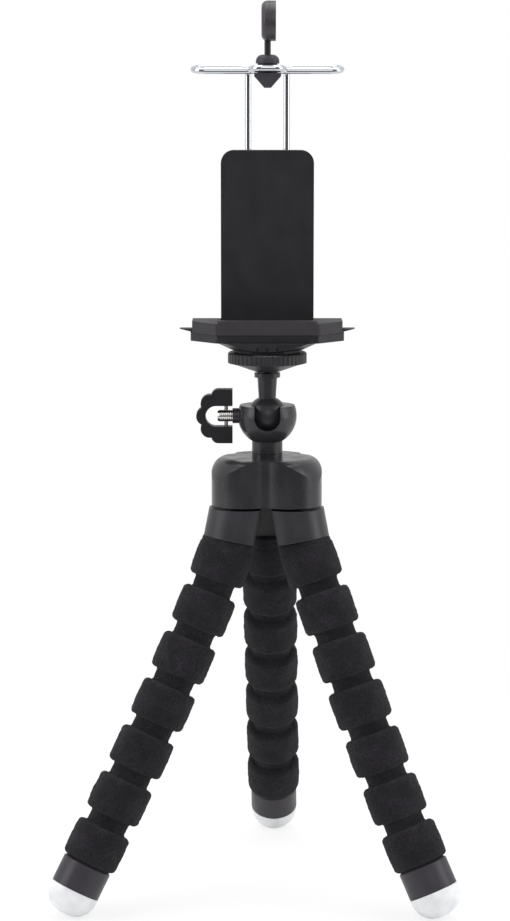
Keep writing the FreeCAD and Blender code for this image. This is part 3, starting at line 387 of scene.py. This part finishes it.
def neck(name, spot, before, after, back, ahead, node, first=False):
    """Foam neck from back behind a bend to ahead of it, with its core of wire; the first has a wide lip."""
    begin = ahead if first else back

    def place(height):
        along = before.lerp(after, eased((height + begin) / (begin + ahead))).normalized()
        return frame_at(spot + (before if height < 0 else after) * height, along)

    inner = CORE_RADIUS + CORE_GAP
    root = -back - NECK_OVERLAP
    if first:
        lip = BEAD_RADIUS - LIP_INSIDE
        profile = [(inner, root), (TUBE_RADIUS, root), (TUBE_RADIUS, -ahead + 0.04 * MM),
                   (lip - 0.3 * MM, -ahead + 0.05 * MM), (lip, -ahead + 0.3 * MM), (lip, ahead + LIP_REACH),
                   (inner, ahead + LIP_REACH - 0.02 * MM)]
    else:
        profile = [(inner, root), (TUBE_RADIUS + FLARE, root),
                   (TUBE_RADIUS + 0.3 * FLARE, -back + 0.2 * MM), (TUBE_RADIUS, -back + FLARE),
                   (TUBE_RADIUS, ahead - FLARE), (TUBE_RADIUS + 0.2 * MM, ahead - 0.2 * MM),
                   (TUBE_RADIUS + FLARE, ahead + NECK_OVERLAP), (inner, ahead + NECK_OVERLAP)]
    piece = lathe(name, dense(profile, 0.6 * MM), place, foam_black, 72)
    fuzz(piece, *NECK_FUZZ)
    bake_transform(piece)
    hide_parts(node + "_foam_tube")
    heights = [-back - END_HOLLOW + (back + ahead + 2 * END_HOLLOW) * i / 6 for i in range(7)]
    profile = [(CORE_RADIUS, height) for height in heights]
    core = lathe(name + "_core", profile, place, steel, 16, closed=False)
    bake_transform(core)
    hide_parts(node + "_core_wire")


def core_run(name, start, end, body, node):
    """Straight run of the core wire inside one bead, cuff or cap."""
    radius = CORE_RADIUS - CORE_THINNER
    place = frame_at(start, (end - start).normalized())
    piece = lathe(name, [(radius, 0), (radius, (end - start).length)], place, steel, 16, closed=False)
    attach(piece, body)
    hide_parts(node)


for side in ("left", "right", "rear"):
    bends = [Vector(joints[f"{side}_bend_{number}"]["pos_m"]) for number in range(1, BEADS + 1)]
    low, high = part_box(f"{side}_bead_{BEADS}")
    last = (Vector(low) + Vector(high)) / 2
    ways = [(b - a).normalized() for a, b in zip(bends, bends[1:] + [last])]
    out = Vector((ways[-1].x, ways[-1].y, 0)).normalized()
    cuff_way = out * math.sin(CUFF_TILT) - Vector((0, 0, math.cos(CUFF_TILT)))
    gap = (bends[1] - bends[0]).length - BEAD_TALL
    groove = (bends[3] - bends[2]).length - BEAD_TALL
    first = 2 * (gap - groove / 2)
    above, way_above, socket = f"{side}_cuff", cuff_way, CUFF_SOCKET
    for number, (spot, way) in enumerate(zip(bends, ways), 1):
        top = number == 1
        body = f"{side}_bead_{number}"
        half = (first if top else groove) / 2
        bead(f"{side}_foam_bead_{number}", spot + way * (half + BEAD_TALL / 2), way, body, body,
             trim=FIRST_TRIM if top else 0.0)
        neck(f"{side}_foam_neck_{number}", spot, way_above, way, half + socket, half, side,
             first=top)
        core_run(f"{side}_core_{number}", spot + way * (half + END_HOLLOW),
                 spot + way * (half + BEAD_TALL - END_HOLLOW), body, side + "_core_wire")
        above, way_above, socket = body, way, 0
    tail = bends[-1] + ways[-1] * (groove / 2 + BEAD_TALL)
    inner = CORE_RADIUS + CORE_GAP
    profile = [(inner, -NECK_OVERLAP), (TUBE_RADIUS, -NECK_OVERLAP), (TUBE_RADIUS, CAP_SOCKET),
               (inner, CAP_SOCKET)]
    plug = lathe(side + "_foam_tail", dense(profile, 0.8 * MM), frame_at(tail, ways[-1]), foam_black, 48)
    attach(plug, f"{side}_bead_{BEADS}")
    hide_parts(side + "_foam_tube")
    core_run(side + "_core_tail", tail, tail + ways[-1] * CAP_SOCKET, f"{side}_bead_{BEADS}",
             side + "_core_wire")
    root = bends[0] - cuff_way * (first / 2 + CUFF_SOCKET)
    core_run(side + "_core_root", root - cuff_way * CORE_ROOT, root, side + "_cuff", side + "_core_wire")

# Clamping screw with a real thread

low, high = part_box("clamp_screw")
screw_radius = (high[2] - low[2]) / 2
centre = (high[2] + low[2]) / 2
THREAD_PITCH = 0.6 * MM
THREAD_DEEP = 0.09 * MM
THREAD_STEEP = 2.6
THREAD_STEPS = 300
THREAD_AROUND = 36
POINT_LONG = 0.5 * MM
POINT_DEEP = 0.25 * MM
rings = []
for i in range(THREAD_STEPS + 1):
    x = low[0] + (high[0] - low[0]) * i / THREAD_STEPS
    ramp = min(1, (x - low[0]) / POINT_LONG)
    ring = []
    for k in range(THREAD_AROUND):
        angle = math.tau * k / THREAD_AROUND
        phase = ((x - low[0]) / THREAD_PITCH + k / THREAD_AROUND) % 1
        crest = max(0, 1 - abs(phase - 0.5) * THREAD_STEEP)
        radius = screw_radius - THREAD_DEEP + THREAD_DEEP * crest * ramp - POINT_DEEP * (1 - ramp)
        ring.append((x, radius * math.cos(angle), centre + radius * math.sin(angle)))
    rings.append(ring)
thread = grid("clamp_thread", rings, thread_chrome, closed=False, ends=True)
smooth(thread, 60)
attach(thread, "screw")
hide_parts("clamp_screw")

# Springs round the rods of the bow: wound wire, built at one fixed length (the real springs shorten as the
# bow slides up)

low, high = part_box("clip_springs")
SPRING_WIRE = 0.28 * MM
SPRING_RADIUS = 1.45 * MM
SPRING_PITCH = 2.2 * MM
SPRING_INSET = 1.75 * MM
COIL_STEPS = 24
WIRE_AROUND = 10
middle = (low[1] + high[1]) / 2
rise = high[2] - low[2] - 2 * SPRING_WIRE
steps = round(rise / SPRING_PITCH * COIL_STEPS)
slope = math.atan(SPRING_PITCH / (math.tau * SPRING_RADIUS))
flat = math.cos(slope)
round_wire = [math.tau * k / WIRE_AROUND for k in range(WIRE_AROUND)]
for column, x in (("left", low[0] + SPRING_INSET), ("right", high[0] - SPRING_INSET)):
    rings = []
    for i in range(steps + 1):
        angle = math.tau * i / COIL_STEPS
        outward = Vector((math.cos(angle), math.sin(angle), 0))
        onward = Vector((-math.sin(angle) * flat, math.cos(angle) * flat, math.sin(slope)))
        spot = Vector((x, middle, low[2] + SPRING_WIRE + rise * i / steps)) + outward * SPRING_RADIUS
        across = onward.cross(outward)
        rings.append([spot + SPRING_WIRE * (outward * math.cos(turn) + across * math.sin(turn))
                      for turn in round_wire])
    coil = grid(f"clip_spring_{column}", rings, steel, closed=False, ends=True)
    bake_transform(coil)
    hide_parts("clip_springs")

# Cover screws: pan heads with a cross recess

low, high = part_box("cover_screws")
HEAD_RADIUS = 1.7 * MM
HEAD_TALL = 0.8 * MM
SHANK_RADIUS = 1.0 * MM
HEAD_ROUND = 0.4 * MM
DOME_RINGS = 30
DOME_TIP = 0.01 * MM
RECESS_REACH = 1.05 * MM
RECESS_HALF = 0.28 * MM
RECESS_DEEP = 0.4 * MM
RECESS_SIDE = 0.14 * MM
RECESS_END = 0.15 * MM

for column, x in (("left", low[0] + HEAD_RADIUS), ("right", high[0] - HEAD_RADIUS)):
    for row, z in (("low", low[2] + HEAD_RADIUS), ("high", high[2] - HEAD_RADIUS)):
        profile = [(SHANK_RADIUS, low[1] - high[1] + HEAD_TALL), (SHANK_RADIUS, 0), (HEAD_RADIUS, 0)]
        profile += arc((HEAD_RADIUS - HEAD_ROUND, HEAD_TALL - 0.5 * MM), HEAD_ROUND, 0, 60, 5)
        edge, rise = profile[-1]
        for i in range(1, DOME_RINGS):
            share = i / DOME_RINGS
            profile.append((edge * (1 - share), rise + (HEAD_TALL - rise) * (2 - share) * share))
        profile.append((DOME_TIP, HEAD_TALL))
        head = lathe(f"cover_screw_{column}_{row}", profile, Matrix(), steel, 96, closed=False)
        for vertex in head.data.vertices:
            across = min(abs(vertex.co.x), abs(vertex.co.y))
            reach = math.hypot(vertex.co.x, vertex.co.y)
            if vertex.co.z > HEAD_TALL / 2:
                vertex.co.z -= RECESS_DEEP * (eased((RECESS_HALF - across) / RECESS_SIDE)
                                              * eased((RECESS_REACH - reach) / RECESS_END))
        head.data.transform(frame_at(Vector((x, high[1] - HEAD_TALL, z)), Vector((0, 1, 0))))
        smooth(head, 50)
        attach(head, "clip")
        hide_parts("cover_screws")

# Seam where the two halves of the mirror's shell meet: a fine ridge round the rim

low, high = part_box("mirror_shell")
SEAM_PLACE = 0.55
SEAM_HALF = 0.16 * MM
SEAM_PROUD = 0.09 * MM
SEAM_SUNK = 0.1 * MM
rim = (high[2] - low[2]) / 2
centre = Vector((low[0] + SEAM_PLACE * (high[0] - low[0]), (low[1] + high[1]) / 2, (low[2] + high[2]) / 2))
profile = [(rim - SEAM_SUNK, -SEAM_HALF), (rim + 0.4 * SEAM_PROUD, -SEAM_HALF),
           (rim + SEAM_PROUD, -0.4 * SEAM_HALF), (rim + SEAM_PROUD, 0.4 * SEAM_HALF),
           (rim + 0.4 * SEAM_PROUD, SEAM_HALF), (rim - SEAM_SUNK, SEAM_HALF)]
seam = lathe("mirror_seam", profile, frame_at(centre, Vector((1, 0, 0))), mirror_plastic, 128)
smooth(seam, 60)
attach(seam, "mirror")

# Stage: white floor that keeps the soft shadow, a world that is white to the camera, soft panels

floor_mesh = bpy.data.meshes.new("floor")
floor_mesh.from_pydata([(-8, -8, 0), (8, -8, 0), (8, 12, 0), (-8, 12, 0)], [], [(0, 1, 2, 3)])
floor = bpy.data.objects.new("floor", floor_mesh)
floor.location.z = cad_box[0][2] - 0.02 * MM
scene.collection.objects.link(floor)
white, tree, shader = material("floor_white", (0.9, 0.9, 0.9), Roughness=0.9, Specular_IOR_Level=0.1)
spot = add(tree, "NewGeometry")
reach = add(tree, "VectorMath", operation="LENGTH")
tree.links.new(spot.outputs["Position"], reach.inputs[0])
fade = spread(tree, reach.outputs["Value"], 0.78, 1.0, 0.06, 0.3)
split = add(tree, "SeparateXYZ")
tree.links.new(spot.outputs["Position"], split.inputs["Vector"])
# Painted reflection shade: to glossy rays the floor glows only 0.12 in front of y = -0.5 m, towards the
# camera, rising to white behind y = -0.3 m; the camera still sees it white
front_reflection_shade = spread(tree, split.outputs["Y"], 0.12, 1.0, -0.5, -0.3)
paths = add(tree, "LightPath")
glow = add(tree, "Emission", Color=(1, 1, 1, 1))
level = add(tree, "Math", operation="MAXIMUM")
tree.links.new(paths.outputs["Is Camera Ray"], level.inputs[0])
tree.links.new(front_reflection_shade, level.inputs[1])
tree.links.new(level.outputs["Value"], glow.inputs["Strength"])
seen = add(tree, "Math", operation="MAXIMUM")
share = add(tree, "Math", operation="MULTIPLY")
tree.links.new(fade, share.inputs[1])
blend = add(tree, "MixShader")
output = tree.nodes["Material Output"]
tree.links.new(paths.outputs["Is Camera Ray"], seen.inputs[0])
tree.links.new(paths.outputs["Is Glossy Ray"], seen.inputs[1])
tree.links.new(seen.outputs["Value"], share.inputs[0])
tree.links.new(share.outputs["Value"], blend.inputs["Fac"])
tree.links.new(shader.outputs["BSDF"], blend.inputs[1])
tree.links.new(glow.outputs["Emission"], blend.inputs[2])
tree.links.new(blend.outputs["Shader"], output.inputs["Surface"])
floor_mesh.materials.append(white)

world = bpy.data.worlds.new("studio")
scene.world = world
world.use_nodes = True
tree = world.node_tree
sky = tree.nodes["Background"]
paths = add(tree, "LightPath")
place = add(tree, "TexCoord")
facing = add(tree, "VectorMath", operation="DOT_PRODUCT")
facing.inputs[1].default_value = (0, 0.8, 0.6)
tree.links.new(place.outputs["Generated"], facing.inputs[0])
SKY = ((0.0, 0.1), (0.25, 0.16), (0.5, 0.6), (0.8, 0.9), (1.0, 0.85))
greys = [(position, (value, value, value * 1.01)) for position, value in SKY]
level = shades(tree, spread(tree, facing.outputs["Value"], 0.0, 1.0, -1.0, 1.0), *greys)
seen = add(tree, "MixRGB", Color2=(1, 1, 1, 1))
tree.links.new(level, seen.inputs["Color1"])
tree.links.new(paths.outputs["Is Camera Ray"], seen.inputs["Fac"])
tree.links.new(seen.outputs["Color"], sky.inputs["Color"])

AIM = (0, 0, 0.14)


def panel(name, spot, size, watts):
    """Soft light that looks at the middle of the part."""
    lamp = bpy.data.lights.new(name, "AREA")
    lamp.shape = "RECTANGLE"
    lamp.size, lamp.size_y = size
    lamp.energy = watts
    holder = bpy.data.objects.new(name, lamp)
    holder.location = spot
    holder.rotation_euler = (Vector(AIM) - Vector(spot)).to_track_quat("-Z", "Y").to_euler()
    scene.collection.objects.link(holder)


panel("top_panel", (0.0, 0.1, 1.1), (1.0, 0.9), 7.2)
panel("left_panel", (-0.9, -0.35, 0.5), (0.5, 0.9), 4.0)
panel("right_panel", (0.95, -0.25, 0.45), (0.5, 0.9), 3.9)
panel("front_panel", (0.1, -1.3, 0.75), (0.9, 0.5), 2.8)

# Camera fitted to the photograph

eye = bpy.data.cameras.new("camera")
eye.lens = 96.91
eye.sensor_width = 36
eye.clip_start = 0.01
eye.clip_end = 50
camera = bpy.data.objects.new("camera", eye)
camera.location = (-0.003847, -0.77286, 0.25123)
camera.rotation_euler = (math.radians(81.69), 0, 0)
scene.collection.objects.link(camera)
scene.camera = camera
scene.view_settings.view_transform = "Standard"
